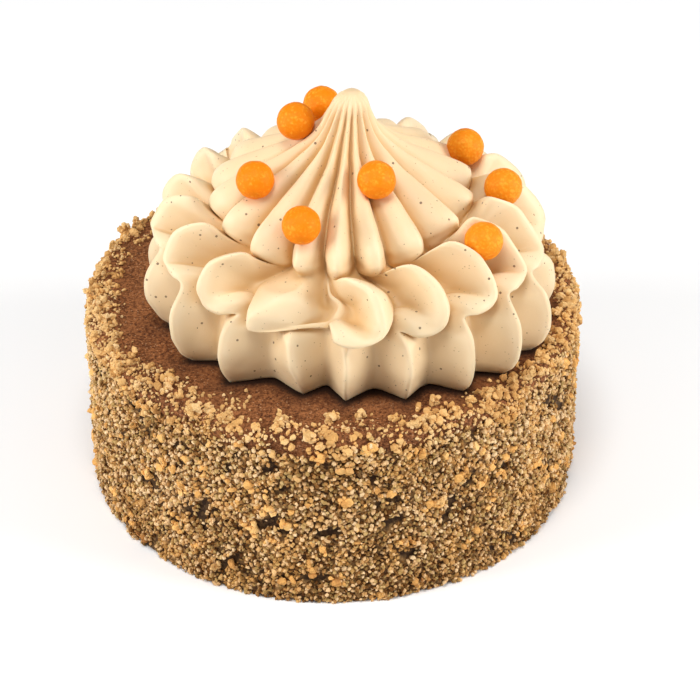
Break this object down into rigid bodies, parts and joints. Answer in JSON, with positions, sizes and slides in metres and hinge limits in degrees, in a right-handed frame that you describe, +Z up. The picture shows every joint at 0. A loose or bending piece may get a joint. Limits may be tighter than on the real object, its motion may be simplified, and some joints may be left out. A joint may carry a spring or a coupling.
{
  "type": "pumpkin cheesecake",
  "caption": "Small round cheesecake coated with biscuit crumbs, topped with a tall star-piped cream swirl and round orange sugar pearls.",
  "frame": {"origin": "middle of the cake's flat underside", "axes": "+Z up through the peak of the cream, front towards -Y, +X to the right"},
  "size_m": [0.082, 0.082, 0.0703],
  "materials": {
    "biscuit": "rough, dry crumbs over brown cake",
    "cream": "smooth piped cream with fine spice specks",
    "sugar": "matte sugar shell"
  },
  "bodies": {
    "root": {"cake": "biscuit", "swirl": "cream", "pearl_1": "sugar", "pearl_2": "sugar", "pearl_3": "sugar", "pearl_4": "sugar", "pearl_5": "sugar", "pearl_6": "sugar", "pearl_7": "sugar", "pearl_8": "sugar", "pearl_9": "sugar"}
  },
  "joints": []
}
